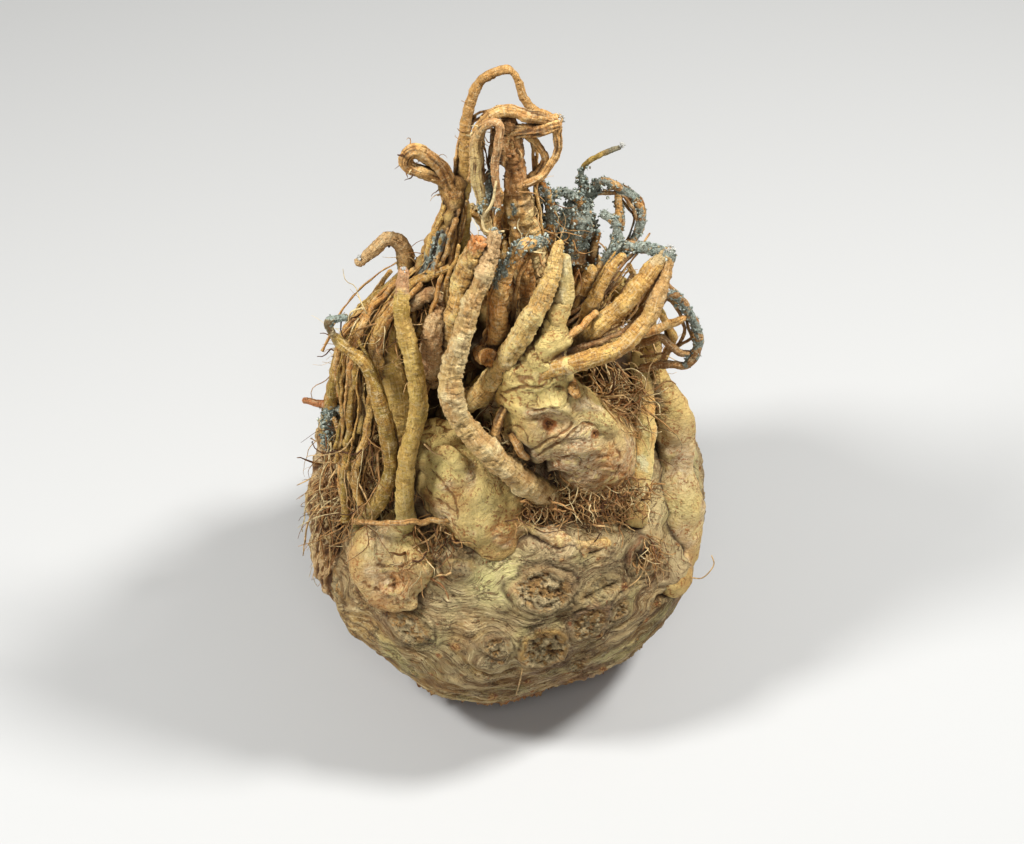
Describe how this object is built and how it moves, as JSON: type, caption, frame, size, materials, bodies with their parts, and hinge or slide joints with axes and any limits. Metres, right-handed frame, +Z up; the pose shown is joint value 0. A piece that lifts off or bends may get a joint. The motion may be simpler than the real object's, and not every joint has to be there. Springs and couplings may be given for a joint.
{
  "type": "celeriac root with its side roots left on",
  "caption": "Knobbly round celeriac standing upside down on its trimmed crown, with a tall tangle of thick dried roots on top.",
  "frame": {"origin": "middle of the flat trimmed crown, on the surface it stands on", "axes": "+Z up, from the trimmed crown to the root tips; the side with the crossing roots faces -Y; +X is to its right"},
  "size_m": [0.145, 0.1441, 0.2532],
  "materials": {
    "tuber_skin": "matt, wrinkled beige skin with yellow-green patches and brown creases",
    "root_bark": "matt, ringed tan bark of the thick roots",
    "root_hair": "matt, dry brown rootlets and fibres",
    "mould": "powdery blue-grey mould with white fuzz"
  },
  "bodies": {
    "root": {"celeriac": "tuber_skin"}
  },
  "joints": []
}
